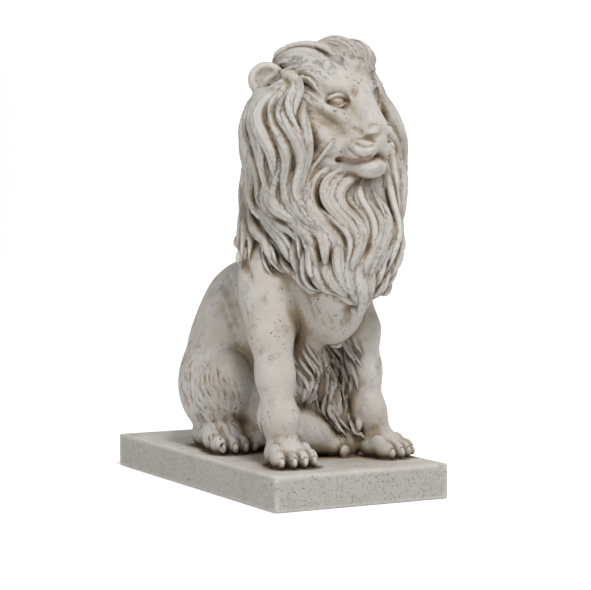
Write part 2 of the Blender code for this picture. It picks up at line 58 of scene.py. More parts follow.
PLINTH_EDGE = 0.0016

# The lion is drawn in units, so many of them from the plinth's top to the crown of its mane,
# and its forms keep their pose and proportions as shares of that height.
DRAWN_HEIGHT = 350.6
UNIT = (STATUE_HEIGHT - PLINTH_HEIGHT) / DRAWN_HEIGHT

# The clay's grid in units, about how many triangles its skin is thinned to, and the longest
# edge in metres that then stays whole.
CELL = 0.9
TRIANGLES = 170000
LONGEST_EDGE = 0.010

# How sharply a lock meets its neighbours, and the strands that are cut along it.
FILLET = 0.5
STRANDS = 3
STRAND_DEPTH = 1.1

# Stone colours.
PALE_STONE = (0.485, 0.466, 0.441, 1.0)
WARM_STONE = (0.405, 0.368, 0.325, 1.0)
GREY_STONE = (0.27, 0.245, 0.215, 1.0)
PLINTH_STONE = (0.385, 0.366, 0.342, 1.0)
GRIT = (0.17, 0.145, 0.115, 1.0)
WORN = (0.66, 0.635, 0.60, 1.0)
# The ochre is a stain that also paints shade into the deep, sheltered places; the brown and the darkest
# colour paint both dirt and shade into the hollows, and the darkest also darkens the pits.
OCHRE = (0.27, 0.195, 0.10, 1.0)
BROWN = (0.235, 0.175, 0.115, 1.0)
DIRT_AND_SHADE = (0.075, 0.048, 0.028, 1.0)
PIECE = "lion_statue_stone"

# The camera turns about +Z from looking along +Y, and rises above the floor.
VIEW_TURN = -28.4
VIEW_RISE = 2.8
VIEW_DISTANCE = 1.6
VIEW_AIM = (0.0190, 0.1622)
VIEW_LENS = 112.2

# Each lamp's place and size in metres and its power in watts, the point that all lamps face,
# and the strength of the even light from all round.
LAMPS = (
    ("key", (-0.25, -1.4, 2.0), 0.6, 44.0),
    ("side", (-1.8, -0.5, 0.7), 1.0, 4.0),
    ("rim", (1.5, 0.9, 1.2), 0.8, 6.0),
)
LAMP_AIM = (0.0, 0.0, 0.2)
SKY = 0.32

# The pale sweep behind the statue: how far back it starts to rise, its bend's radius and how many
# faces round it, how far it reaches, and its faint glow.
SWEEP_START = 1.0
SWEEP_BEND = 0.8
SWEEP_STEPS = 16
SWEEP_REACH = 30.0
SWEEP_GLOW = 0.17

# The grid that the air round the statue is measured on: its cell and its margin in units, and
# how many cells the measured band reaches to either side of the skin.
AIR_CELL = 2.0
AIR_MARGIN = 16.0
AIR_BAND = 7.0

# How far outside the skin the air is read, to find hollows, and how far inside, to find ridges.
AIR_REACHES = (3.0, 6.0, 11.0)
RIDGE_REACH = 4.0

# The grooves combed along a lock: how close together they lie, and how deep.
COMBS = ((0.62, 0.7), (1.7, 0.3))

# Each lock's grooves are shifted, so that they don't run on into the next lock. A point's own
# lock is looked for among so many of the nearest blades.
COMB_SHIFT = 7.3
COMB_SHIFTS = 17
NEAR_BLADES = 16

# The head's own frame lies between the eyes and the ears, turned to the lion's left.
HEAD_AT = (4.0, -80.0, 294.0)
HEAD_TURN = 18.0

# The oval of the face, in the head's frame.
FACE_HALF_WIDTH = 31.0
FACE_HALF_HEIGHT = 44.0
FACE_MIDDLE = -14.0
FACE_BACK = 8.0

# Where no lock takes root, in the head's frame, so that the ear stands clear.
EAR_ROOT = np.array((46, 16, 21))
EAR_ROOM = 17.0

# The lowest point of the mane.
MANE_TIP = np.array((10.0, -124.0, 116.0))

# The kinds of locks: spacing of the roots, half widths, half thickness, and how far above the
# clay a lock's root and tip lie.
BROAD_LOCKS = (14.0, (5.0, 8.8), 5.6, (-5.0, 5.5))
SLENDER_LOCKS = (19.0, (2.6, 4.4), 3.6, (-1.0, 6.5))
FINE_LOCKS = (10.0, (1.6, 2.9), 2.2, (-2.0, 2.6))
FRINGE_LOCKS = (8.5, (3.6, 6.0), 3.2, (-3.2, 4.0))
BELLY_LOCKS = (7.0, (2.4, 4.2), 2.8, (-2.0, 2.5))

# A lock's shortest and longest length, its swing and the length of its waves, how many degrees it
# may roll about its own run, and how many blades it is made of.
LOCK_LENGTH = (24.0, 100.0)
LOCK_SWING = 0.55
WAVE_LENGTH = 66.0
LOCK_ROLL = 26.0
LOCK_STEPS = 20

# About how far apart the points lie among which locks may take root.
ROOT_SPACING = 4.0

# How far a stroke of fur may turn from the way it should run.
FUR_BEND = 0.35

# The distance that stands for empty room.
FAR = 30.0


def turned(yaw=0.0, pitch=0.0, roll=0.0):
    """Axes, as rows, after a roll about Y, a pitch about X and a yaw about Z, in degrees."""
    turn = Matrix.Rotation(math.radians(yaw), 3, "Z")
    turn = turn @ Matrix.Rotation(math.radians(pitch), 3, "X")
    turn = turn @ Matrix.Rotation(math.radians(roll), 3, "Y")
    return np.array(turn.transposed())


def unit(vectors):
    """The vectors, each brought to a length of one."""
    return vectors / np.maximum(np.linalg.norm(vectors, axis=-1, keepdims=True), 1e-9)


def ramp(value, low, high):
    """Zero below low, one above high, and smooth between."""
    part = np.clip((value - low) / (high - low), 0.0, 1.0)
    return part * part * (3.0 - 2.0 * part)


class Place:
    """A frame to give forms in: its origin, and its axes as rows."""

    def __init__(self, at=(0.0, 0.0, 0.0), axes=None):
        self.at = np.array(at, float)
        self.axes = np.eye(3) if axes is None else np.array(axes, float)

    def point(self, local):
        return self.at + np.array(local, float) @ self.axes

    def local(self, points):
        return (np.asarray(points, float) - self.at) @ self.axes.T


BODY = Place()
HEAD = Place(HEAD_AT, turned(yaw=HEAD_TURN))


def smooth_min(a, b, fillet):
    """The union of two distances, with a fillet where they meet."""
    near = np.maximum(fillet - np.abs(a - b), 0.0) / fillet
    return np.minimum(a, b) - near * near * fillet * 0.25


class Clay:
    """A block of signed distances on a regular grid, below zero inside."""

    def __init__(self, low, high, cell):
        self.low = np.array(low, float)
        self.cell = cell
        self.combed = []
        counts = np.ceil((np.array(high, float) - self.low) / cell).astype(int) + 1
        self.field = np.full(counts, FAR, np.float32)

    def copy(self):
        other = Clay(self.low, self.low, self.cell)
        other.field = self.field.copy()
        return other

    def window(self, low, high):
        """The slices of the block between two corners, and the coordinates there."""
        top = np.array(self.field.shape)
        start = np.clip(np.floor((np.array(low) - self.low) / self.cell).astype(int), 0, top)
        stop = np.clip(np.ceil((np.array(high) - self.low) / self.cell).astype(int) + 1, start, top)
        slices = tuple(slice(a, b) for a, b in zip(start, stop))
        lines = [
            (self.low[i] + self.cell * np.arange(start[i], stop[i])).astype(np.float32)
            for i in range(3)
        ]
        return slices, np.meshgrid(*lines, indexing="ij", sparse=True)

    def press(self, form, fillet):
        """Adds a form to the clay."""
        reach = fillet + 2.0 * self.cell
        slices, grid = self.window(form.low - reach, form.high + reach)
        self.field[slices] = smooth_min(self.field[slices], form.distance(*grid), fillet)

    def cut(self, form, fillet):
        """Takes a form away from the clay."""
        reach = fillet + 2.0 * self.cell
        slices, grid = self.window(form.low - reach, form.high + reach)
        self.field[slices] = -smooth_min(-self.field[slices], form.distance(*grid), fillet)

    def press_chain(self, forms, fillet):
        """Adds several forms as one, with no fillet between them."""
        reach = fillet + 2.0 * self.cell
        low = np.min([form.low for form in forms], 0) - reach
        high = np.max([form.high for form in forms], 0) + reach
        slices, grid = self.window(low, high)
        shape = self.field[slices].shape
        if 0 in shape:
            return
        both = np.full(shape, FAR, np.float32)
        corner = self.low + self.cell * np.array([s.start for s in slices])
        for form in forms:
            start = np.floor((form.low - reach - corner) / self.cell).astype(int)
            stop = np.ceil((form.high + reach - corner) / self.cell).astype(int) + 1
            start, stop = np.clip(start, 0, shape), np.clip(stop, 0, shape)
            part = tuple(slice(a, b) for a, b in zip(start, stop))
            lines = [
                grid[axis][tuple(part[i] if i == axis else slice(None) for i in range(3))]
                for axis in range(3)
            ]
            both[part] = np.minimum(both[part], form.distance(*lines))
        self.field[slices] = smooth_min(self.field[slices], both, fillet)

    def sample(self, points):
        """The distance at each point, read between the grid's corners."""
        at = (np.asarray(points, float) - self.low) / self.cell
        at = np.clip(at, 0.0, np.array(self.field.shape) - 1.001)
        base = np.floor(at).astype(int)
        part = at - base
        total = np.zeros(len(at))
        for corner in np.ndindex(2, 2, 2):
            weight = np.prod(np.where(corner, part, 1.0 - part), axis=1)
            index = base + np.array(corner)
            total += weight * self.field[index[:, 0], index[:, 1], index[:, 2]]
        return total

    def outward(self, points, step=3.0):
        """The unit normal of the distance at each point."""
        slope = [self.sample(points + step * a) - self.sample(points - step * a) for a in np.eye(3)]
        return unit(np.stack(slope, 1))

    def skin(self, every=1):
        """The surface, as points in drawn units and four-sided faces."""
        grid = openvdb.FloatGrid(FAR)
        grid.copyFromArray(np.ascontiguousarray(self.field[::every, ::every, ::every]))
        points, faces = grid.convertToQuads(0.0)
        return points * self.cell * every + self.low, faces


class Egg:
    """An ellipsoid with the given radii along its own axes."""

    def __init__(self, centre, radii, axes=None, place=BODY):
        self.centre = place.point(centre)
        self.radii = np.array(radii, float)
        self.axes = (np.eye(3) if axes is None else axes) @ place.axes
        reach = np.sqrt(((self.axes * self.radii[:, None]) ** 2).sum(0))
        self.low, self.high = self.centre - reach, self.centre + reach

    def distance(self, x, y, z):
        x, y, z = x - self.centre[0], y - self.centre[1], z - self.centre[2]
        near, steep = 1e-4, 1e-6
        for axis, radius in zip(self.axes, self.radii):
            along = (axis[0] * x + axis[1] * y + axis[2] * z) / radius
            near = near + along**2
            steep = steep + (along / radius) ** 2
        near = np.sqrt(near)
        return near * (near - 1.0) / np.sqrt(steep)


class Bone:
    """A rounded cone between two balls."""

    def __init__(self, start, end, start_radius, end_radius, place=BODY):
        self.start, self.end = place.point(start), place.point(end)
        self.radii = (start_radius, end_radius)
        self.low = np.minimum(self.start - start_radius, self.end - end_radius)
        self.high = np.maximum(self.start + start_radius, self.end + end_radius)

    def distance(self, x, y, z):
        run = self.end - self.start
        x, y, z = x - self.start[0], y - self.start[1], z - self.start[2]
        along = np.clip((x * run[0] + y * run[1] + z * run[2]) / (run @ run), 0.0, 1.0)
        off = (x - along * run[0]) ** 2 + (y - along * run[1]) ** 2 + (z - along * run[2]) ** 2
        return np.sqrt(off) - self.radii[0] - along * (self.radii[1] - self.radii[0])


class Brick:
    """A box with rounded edges."""

    def __init__(self, centre, halves, rounding, axes=None, place=BODY):
        self.centre = place.point(centre)
        self.halves = np.array(halves, float)
        self.rounding = rounding
        self.axes = (np.eye(3) if axes is None else axes) @ place.axes
        reach = (np.abs(self.axes) * self.halves[:, None]).sum(0)
        self.low, self.high = self.centre - reach, self.centre + reach

    def distance(self, x, y, z):
        x, y, z = x - self.centre[0], y - self.centre[1], z - self.centre[2]
        outside, deepest = 0.0, -FAR
        for axis, half in zip(self.axes, self.halves):
            over = np.abs(axis[0] * x + axis[1] * y + axis[2] * z) - (half - self.rounding)
            outside = outside + np.maximum(over, 0.0) ** 2
            deepest = np.maximum(deepest, over)
        return np.sqrt(outside) + np.minimum(deepest, 0.0) - self.rounding


class Blade:
    """One stretch of a lock of hair: a flat rounded strip, with strands along it."""

    def __init__(self, start, end, out, wide, thick, strands, depth):
        self.start, self.length = start, max(float(np.linalg.norm(end - start)), 1e-6)
        self.along = (end - start) / self.length
        self.out = unit(out - (out @ self.along) * self.along)
        self.across = np.cross(self.out, self.along)
        self.wide, self.thick = wide, thick
        self.strands, self.depth = strands, depth
        reach = (self.across * max(wide)) ** 2
        reach = np.sqrt(reach + (self.out * max(thick)) ** 2 + (self.along * max(thick)) ** 2)
        self.low = np.minimum(start, end) - reach
        self.high = np.maximum(start, end) + reach

    def distance(self, x, y, z):
        x, y, z = x - self.start[0], y - self.start[1], z - self.start[2]
        along = self.along[0] * x + self.along[1] * y + self.along[2] * z
        part = np.clip(along / self.length, 0.0, 1.0)
        wide = self.wide[0] + part * (self.wide[1] - self.wide[0])
        thick = self.thick[0] + part * (self.thick[1] - self.thick[0])
        side = (self.across[0] * x + self.across[1] * y + self.across[2] * z) / wide
        lift = (self.out[0] * x + self.out[1] * y + self.out[2] * z) / thick
        past = (along - part * self.length) / thick
        near = np.sqrt(side**2 + lift**2 + past**2 + 1e-4)
        steep = np.sqrt((side / wide) ** 2 + (lift**2 + past**2) / thick**2 + 1e-6)
        distance = near * (near - 1.0) / steep
        if self.strands:
            ridge = np.abs(np.cos(0.5 * math.pi * self.strands * np.clip(side, -1.0, 1.0)))
            distance = distance + self.depth * np.minimum(wide / 3.0, 1.0) * (1.0 - ridge)
        return distance


def string(clay, points, radii, fillet, place=BODY, work=Clay.press):
    """Presses, or cuts, a chain of rounded cones through the points."""
    for a, b, ra, rb in zip(points[:-1], points[1:], radii[:-1], radii[1:]):
        work(clay, Bone(a, b, ra, rb, place), fillet)


def torso(clay):
    """The chest, the back and the rump."""
    clay.press(Egg((0, -46, 152), (45, 46, 60), turned(pitch=-12)), 10)
    clay.press(Egg((0, 10, 112), (44, 54, 52), turned(pitch=-34)), 20)
    clay.press(Egg((-1, 39, 104), (46, 54, 58)), 20)
    clay.press(Egg((-1, 47, 72), (54, 60, 54)), 20)
    clay.press(Egg((5, -90, 134), (31, 28, 38)), 12)


def haunch(clay, side):
    """A thigh, its knee, and the hind foot under it."""
    clay.press(Egg((side * 43, 32, 55), (26, 46, 43), turned(pitch=-10)), 8)
    clay.press(Egg((side * 46, -8, 58), (18, 21, 28), turned(pitch=14)), 10)
    string(clay, [(side * 44, 44, 10), (side * 46, 16, 13)], (13, 14), 5)
    clay.press(Egg((side * 47, 6, 17), (15, 22, 13), turned(pitch=-16)), 5)
    paw(clay, (side * 47, -4, 0), -4.0 * side, 1.06)


def foreleg(clay, side):
    """A fore leg from the shoulder blade down to its paw. The left one stands a little wider."""
    if side < 0:
        blade, elbow, wrist = (-38, -56, 146), (-43, -77, 106), (-44.5, -95, 38)
        toes, turn = (-43, -107, 0), -2.0
    else:
        blade, elbow, wrist = (38, -50, 146), (44, -70, 106), (47, -80, 38)
        toes, turn = (56, -93, 0), 24.0
    clay.press(Egg(blade, (19, 26, 48), turned(pitch=-14)), 12)
    clay.press(Egg((blade[0] + side * 5, blade[1] - 8, 128), (15, 19, 26), turned(pitch=-10)), 8)
    middle = tuple((a + b) / 2 for a, b in zip(elbow, wrist))
    string(clay, [blade, elbow, middle, wrist], (18, 17, 14.5, 13), 10)
    clay.press(Egg((wrist[0], wrist[1] - 3, wrist[2]), (13.5, 14, 14)), 8)
    clay.press(Egg((elbow[0], elbow[1] + 14, elbow[2] - 6), (10, 11, 16)), 8)
    string(clay, [wrist, (toes[0], toes[1] + 8, 12)], (12.5, 13), 8)
    clay.press(Egg((wrist[0] - side * 13, wrist[1] - 8, 28), (2.6, 3.4, 6), turned(pitch=-10)), 1.5)
    paw(clay, toes, turn, 1.0)


def paw(clay, at, turn, size):
    """Four toes with their knuckles and claws, and the back of the paw, round a point."""
    place = Place(at, turned(yaw=turn))
    clay.press(Egg((0, 3, 9 * size), (18 * size, 19 * size, 12 * size), place=place), 6)
    for toe in (-1.5, -0.5, 0.5, 1.5):
        front = -(14 - 1.5 * toe * toe) * size
        across = toe * 9.6 * size
        clay.press(Egg((across, front, 7.2 * size), (5.5 * size, 9 * size, 7.6 * size), place=place), 0.8)
        knuckle = (across * 0.92, front + 8 * size, 12 * size)
        clay.press(Egg(knuckle, (5.2 * size, 8 * size, 7.5 * size), place=place), 1.2)
        claw = (across, front - 7.8 * size, 5.2 * size)
        clay.cut(Egg(claw, (2.9 * size, 2.4 * size, 4.8 * size), place=place), 0.8)
        clay.press(Egg(claw, (2.1 * size, 2.8 * size, 4.0 * size), place=place), 0.3)


def belly_fur(clay):
    """The bulk that fills the room between the legs, and the hind paw that shows before it."""
    clay.press(Egg((0, -12, 42), (32, 46, 50)), 12)
    clay.press(Egg((8, -52, 62), (26, 15, 60)), 8)
    clay.press(Egg((30, -50, 50), (18, 22, 56)), 8)
    clay.press(Egg((32, -60, 14), (16, 22, 26)), 6)
    string(clay, [(-6, -80, 112), (-7, -72, 84), (-7, -70, 56)], (12, 11, 8), 6)
    string(clay, [(2, -68, 84), (12, -68, 58), (20, -71, 40), (26, -74, 26)], (10, 9, 7, 3.0), 5)
    string(clay, [(-8, -58, 30), (2, -65, 19), (17, -73, 9.5)], (15, 16, 9), 4)
    for y in (-83, -78, -72):
        clay.press(Egg((25 + (y + 77) * 0.2, y, 5), (5.5, 3.4, 5.5), turned(yaw=20)), 0.8)


def belly_flow(points):
    """The fur under the belly hangs, and leans in towards the left fore leg."""
    return unit(np.tile((0.25, -0.1, -1.0), (len(points), 1)))


def belly_locks(clay, fillet, strands, depth):
    """Short locks over the fur between the legs."""
    chance = np.random.default_rng(5)
    core = clay.copy()
    points = root_room(core)
    x, y, z = points.T
    place = (np.abs(x - 6) < 24) & (y > -86) & (y < -48) & (z > 34) & (z < 108)
    place &= z > 52 - 1.1 * (x - 2)
    roots = scatter(points[place], BELLY_LOCKS[0], chance)
    length = 22.0 + 14.0 * chance.random(len(roots))
    Locks(core, roots, belly_flow, length, BELLY_LOCKS, chance).press(clay, fillet, strands, depth)


def tail(clay):
    """The tail lies on the plinth, round the left haunch, and ends in a tuft."""
    way = [(4, 98, 22), (14, 112, 11), (38, 112, 8), (58, 92, 8), (66, 66, 8), (66, 40, 8)]
    string(clay, way, (11, 9, 7.5, 6.5, 6, 6), 5)
    clay.press(Egg((64, 22, 9), (9, 24, 9), turned(yaw=-6)), 4)


def neck(clay):
    """The bulk under the mane."""
    clay.press(Egg((12, -65, 189), (52, 54, 54)), 14)
    clay.press(Egg((11, -67, 228), (60, 56, 58), turned(yaw=-28)), 14)
    clay.press(Egg((12, -63, 272), (56, 53, 48)), 14)
    clay.press(Egg((4, 12, 16), (33, 26, 18), place=HEAD), 10)
    clay.press(Egg((-46, 8, -17), (23.5, 28, 38), place=HEAD), 16)
    clay.press(Egg((40, -8, -22), (18.5, 25, 38), place=HEAD), 8)
    clay.press(Egg((33, -6, 16), (20, 22, 20), place=HEAD), 8)
    clay.press(Egg((42, -80, 248), (25.5, 27, 38)), 10)
    clay.press(Egg((11, -110, 178), (39, 26, 52), turned(pitch=-6)), 12)


def tuft(clay):
    """The hair that stands up over the forehead."""
    clay.press(Egg((8.5, -15, 33), (29, 24, 17.2), place=HEAD), 6)
    for side in (-1, 1):
        clay.press(Egg((3 + side * 18, 1, 27.5), (19.5, 25, 13.2), place=HEAD), 10)


def head(clay):
    """The skull, the long straight bridge of the nose, the muzzle and the chin."""

    def egg(centre, radii, fillet, axes=None):
        clay.press(Egg(centre, radii, axes, HEAD), fillet)

    egg((0, 2, 2), (37, 40, 40), 8)
    egg((0, -14, 14), (31, 22, 19), 8)
    clay.press(Brick((0, -40, -5), (12.5, 29, 13), 8, turned(pitch=55), HEAD), 8)
    egg((0, -38, 4), (11, 11, 17), 6)
    egg((0, -46, -31), (18, 19, 14), 7)
    egg((0, -50.5, -52), (16, 13.5, 9.5), 1.5)
    for side in (-1, 1):
        egg((side * 15, -29, 12), (14, 9, 6), 7, turned(yaw=side * 24, roll=side * -8))
        egg((side * 31, -16, -2), (8, 17, 7), 10, turned(yaw=side * -22, pitch=30))
        egg((side * 22, -34, -14), (9, 15, 9), 10, turned(yaw=side * -28, pitch=30))
        egg((side * 25, -18, -24), (14, 19, 18), 9)
        egg((side * 20, -34, -37), (9, 14, 8), 7, turned(yaw=side * -30))
        clay.press(Bone((side * 8, -40, -52), (side * 24, -12, -43), 8, 12, HEAD), 5)
        egg((side * 11.5, -50.5, -37), (13.5, 16, 10.5), 2.5, turned(yaw=side * -14, roll=side * 12))
        egg((side * 10.2, -58.5, -25.2), (4.6, 8.2, 4.6), 2)
    clay.press(Brick((0, -58.5, -23.2), (11.5, 8.7, 3.2), 2.2, turned(pitch=-4), HEAD), 1.6)
    egg((0, -58, -30), (10, 8.8, 8), 2)
    for side in (-1, 1):
        face_side(clay, side)
    string(clay, [(0, -68, -30), (0, -66.5, -41)], (0.9, 1.2), 1.0, HEAD, Clay.cut)


def face_side(clay, side):
    """The eye, the nostril, the cheek and the corner of the mouth on one side."""
    clay.cut(Egg((side * 11.5, -46.5, 9), (3.4, 5, 7), turned(yaw=side * 30, roll=side * -20), HEAD), 2.2)
    clay.cut(Egg((side * 32.6, -35.6, -16), (8, 15, 5), turned(yaw=side * -30, pitch=32), HEAD), 9)
    eye(clay, side)
    nostril = [(side * 5.5, -68.5, -30), (side * 9.5, -67, -29), (side * 13.5, -62.5, -28.5)]
    string(clay, nostril, (2.5, 3.4, 2.0), 1.0, HEAD, Clay.cut)
    lips = [
        (0, -66, -42),
        (side * 5, -66, -43),
        (side * 12.5, -61, -46),
        (side * 17.5, -52, -48.5),
        (side * 21, -40, -47),
    ]
    string(clay, lips, (1.6, 1.6, 1.8, 1.9, 2.4), 1.0, HEAD, Clay.cut)
    clay.cut(Egg((side * 21, -38, -46.5), (2.8, 4.4, 2.2), place=HEAD), 1)


def eye(clay, side):
    """An eyeball in its socket, between two raised lids."""
    middle = np.array((side * 17.5, -31.5, 0.6))
    along = np.array((side * 7.6, 5.4, -0.9))
    out = unit(np.array((side * 5.4, -7.6, 0.0)))
    axes = turned(yaw=side * 35.4)
    clay.cut(Egg(middle + 3.5 * out, (9.6, 6.0, 6.2), axes, HEAD), 3)
    clay.press(Egg(middle - 4.4 * out, (8.4, 8.4, 6.2), axes, HEAD), 0.4)
    for lid, height, bulge in ((1, 5.2, 4.6), (-1, -4.8, 3.6)):
        arc = []
        for part in np.linspace(-1.1, 1.1, 13):
            open_part = max(1.0 - (part / 1.1) ** 2, 0.0)
            up = np.array((0.0, 0.0, height * open_part))
            arc.append(middle + part * along + up + (bulge * open_part - 0.9) * out)
        string(clay, arc, [1.5 if lid > 0 else 1.1] * len(arc), 0.5, HEAD)


def ear(clay, side):
    """A round cup that opens forwards and outwards, clear of the hair."""
    axes = turned(yaw=side * 40, roll=side * 14)
    middle = np.array((side * 46.5, 19.5, 19.0))
    out = np.array((side * 0.64, -0.77, 0.0))
    clay.cut(Egg(middle + 11 * out, (10.5, 10, 10.5), axes, HEAD), 3)
    clay.press(Bone((side * 32, 18, 10), (side * 39, 23, 15), 12, 10, HEAD), 5)
    clay.press(Egg(middle, (15.2, 8.4, 14.6), axes, HEAD), 2.5)
    clay.cut(Egg(middle + 7.0 * out + np.array((side, 0, 0.6)), (11.4, 6.6, 10.8), axes, HEAD), 1.5)
    fold = [
        middle + np.array((side * -9.0, -3.0, 6.0)) + 5 * out,
        middle + np.array((side * -1.0, 2.0, -1.0)) + 2.5 * out,
        middle + np.array((side * 3.0, 3.0, -5.0)) + 1.0 * out,
    ]
    string(clay, fold, (3.4, 2.6, 1.6), 1.5, HEAD)
    clay.cut(Egg(middle + 1.6 * out + np.array((side * -4.0, 0.0, -6.0)), (5.0, 3.4, 2.2), axes, HEAD), 1.0)


def root_room(core):
    """Points of the surface, a little apart, among which locks may take root."""
    points, _ = core.skin(every=max(int(ROOT_SPACING / core.cell), 1))
    return points


def scatter(points, spacing, chance):
    """A choice of the points, no two closer than the spacing."""
    chosen = points[:0]
    for index in chance.permutation(len(points)):
        point = points[index]
        if not len(chosen) or ((chosen - point) ** 2).sum(1).min() > spacing**2:
            chosen = np.vstack([chosen, point])
    return chosen


def off_face(points):
    """How far out a point lies from the middle of the face, with the oval's edge at one."""
    local = HEAD.local(points)
    return np.hypot(local[:, 0] / FACE_HALF_WIDTH, (local[:, 2] - FACE_MIDDLE) / FACE_HALF_HEIGHT)


def near_ear(points):
    """Whether a point lies where an ear stands."""
    mirrored = HEAD.local(points)
    mirrored[:, 0] = np.abs(mirrored[:, 0])
    return np.linalg.norm(mirrored - EAR_ROOT, axis=1) < EAR_ROOM


def mane_foot(points):
    """The height at which the mane ends: low on the chest, and higher round the sides."""
    aside = 0.85 * np.abs(points[:, 0] - MANE_TIP[0])
    return MANE_TIP[2] + aside + np.maximum(points[:, 1] + 60.0, 0.0)


def mane_flow(points):
    """The way the hair runs: away from the face, then down, then in to the chest's tip."""
    local = HEAD.local(points)
    spread = np.stack([local[:, 0], 0.0 * local[:, 1], local[:, 2] - FACE_MIDDLE], 1)
    spread = unit(spread)
    spread[:, 1] = 0.8
    spread = unit(spread) @ HEAD.axes
    near_face = 1.0 - ramp(off_face(points), 1.0, 1.7)
    near_face = np.maximum(near_face, ramp(local[:, 2], 18.0, 36.0))
    near_face = (near_face * (1.0 - ramp(local[:, 1], 30.0, 60.0)))[:, None]
    closing = 1.0 - ramp(points[:, 2], 190.0, 285.0)
    closing = (closing * (1.0 - ramp(points[:, 1], -100.0, -35.0)))[:, None]
    down = np.array([0.0, 0.0, -1.0]) * (1.0 - closing)
    onward = down + 1.2 * closing * unit(MANE_TIP + np.array([0.0, 0.0, 14.0]) - points)
    return unit(1.3 * near_face * spread + (1.0 - near_face) * onward)


def wave_phase(points):
    """Where each point lies in the waves that run through the whole mane."""
    slant = np.sin(0.05 * points[:, 0] + 0.03 * points[:, 1])
    return 2.0 * math.pi * points[:, 2] / WAVE_LENGTH + 0.9 * slant


class Locks:
    """Many locks, grown together over the clay from their roots."""

    def __init__(self, core, roots, flow, length, kind, chance):
        _, (narrow, broad), self.thick, (sunk, raised) = kind
        count = len(roots)
        size = np.clip(length / 60.0, 0.6, 1.0)
        self.wide = (narrow + (broad - narrow) * chance.random(count)) * size
        self.roll = np.radians(LOCK_ROLL) * (2.0 * chance.random(count) - 1.0)
        swing = LOCK_SWING * (0.7 + 0.6 * chance.random(count))
        phase = 0.9 * chance.random(count)
        rise = raised * size * (0.5 + chance.random(count))
        here = np.array(roots, float)
        points, outs = [], []
        for step in range(LOCK_STEPS + 1):
            part = step / LOCK_STEPS
            out = core.outward(here)
            level = sunk + (rise - sunk) * math.sin(0.5 * math.pi * min(part / 0.8, 1.0))
            level = level - 0.5 * rise * ramp(part, 0.75, 1.0)
            here = here - (core.sample(here) - level)[:, None] * out
            points.append(here)
            outs.append(out)
            way = flow(here)
            way = unit(way - (way * out).sum(1, keepdims=True) * out)
            calm = 0.25 + 0.75 * ramp(np.linalg.norm(MANE_TIP - here, axis=1), 15.0, 80.0)
            calm = calm * (1.0 - 0.7 * ramp(HEAD.local(here)[:, 2], 20.0, 40.0))
            turn = swing * calm * np.sin(phase + wave_phase(here))
            way = unit(way + turn[:, None] * np.cross(out, way))
            here = here + way * (length / LOCK_STEPS)[:, None]
        self.points, self.outs = np.array(points), np.array(outs)

    def share(self, step):
        """How wide a lock is along its length, as a share of its widest."""
        part = step / LOCK_STEPS
        return (0.45 + 0.55 * math.sin(math.pi * min(part * 1.25, 0.5))) * (1.0 - part**2.6) + 0.05

    def press(self, clay, fillet, strands, depth):
        """Adds every lock to the clay, and keeps its blades for the combing."""
        for lock in range(self.points.shape[1]):
            blades = []
            for step in range(LOCK_STEPS):
                start, end = self.points[step, lock], self.points[step + 1, lock]
                out = self.outs[step, lock]
                across = unit(np.cross(out, end - start))
                out = math.cos(self.roll[lock]) * out + math.sin(self.roll[lock]) * across
                shares = (self.share(step), self.share(step + 1))
                wide = [max(self.wide[lock] * share, 0.6) for share in shares]
                thick = [max(self.thick * min(share * 1.3, 1.0), 0.6) for share in shares]
                blades.append(Blade(start, end, out, wide, thick, strands, depth))
            clay.press_chain(blades, fillet)
            clay.combed.append(blades)


def mane(clay, fillet, strands, depth):
    """The mane, as locks over the neck and the back of the head."""
    chance = np.random.default_rng(11)
    core = clay.copy()
    points = root_room(core)
    room = points[:, 2] - mane_foot(points)
    on_face = (off_face(points) < 1.05) & (HEAD.local(points)[:, 1] < FACE_BACK)
    keep = (room > 10.0) & ~on_face & ~near_ear(points)
    fringe = (off_face(points) > 0.98) & (off_face(points) < 1.2) & ~near_ear(points)
    fringe &= np.abs(HEAD.local(points)[:, 1] + 12.0) < 26.0
    for kind, ridges, place in (
        (BROAD_LOCKS, strands + 2, keep),
        (SLENDER_LOCKS, strands, keep),
        (FINE_LOCKS, 0, keep),
        (FRINGE_LOCKS, strands, fringe),
    ):
        roots = scatter(points[place], kind[0], chance)
        room = roots[:, 2] - mane_foot(roots)
        length = np.clip(room * 1.1 + 16.0 * chance.random(len(roots)), *LOCK_LENGTH)
        length = np.minimum(length, np.linalg.norm(MANE_TIP - roots, axis=1) + 6.0)
        locks = Locks(core, roots, mane_flow, length, kind, chance)
        locks.press(clay, fillet, ridges, depth)


def settled(clay, points):
    """Points brought onto the surface."""
    points = np.array(points, float)
    for _ in range(3):
        points = points - clay.sample(points)[:, None] * clay.outward(points, 1.5)
    return points


def engrave(clay, points, radius, fillet):
    """A groove along the surface near the given points."""
    path = settled(clay, points)
    radii = [radius * 0.45] + [radius] * (len(path) - 2) + [radius * 0.45]
    lift = 0.15 * radius
    string(clay, path + lift * clay.outward(path), radii, fillet, work=Clay.cut)


def curve(start, middle, end, steps=6):
    """Points of a curve that leaves the start towards the middle and arrives at the end."""
    part = np.linspace(0.0, 1.0, steps)[:, None]
    start, middle, end = (np.array(point, float) for point in (start, middle, end))
    return (1 - part) ** 2 * start + 2 * part * (1 - part) * middle + part**2 * end


def fur_strokes(clay, zone, way, spacing, length, radius, chance):
    """Short engraved strokes over the zone, roughly along one way, as the carver draws fur."""
    points, _ = clay.skin(every=3)
    points = points[zone.distance(*points.T) < 0.0]
    roots = scatter(points, spacing, chance)
    outs = clay.outward(roots)
    for root, out in zip(roots, outs):
        along = unit(np.array(way) - (np.array(way) @ out) * out)
        across = np.cross(out, along)
        along = unit(along + FUR_BEND * (2.0 * chance.random() - 1.0) * across)
        far = length * (0.6 + 0.8 * chance.random())
        swing = far * 0.22 * (2.0 * chance.random() - 1.0) * across
        engrave(clay, curve(root, root + 0.5 * far * along + swing, root + far * along, 4), radius, 0.5)


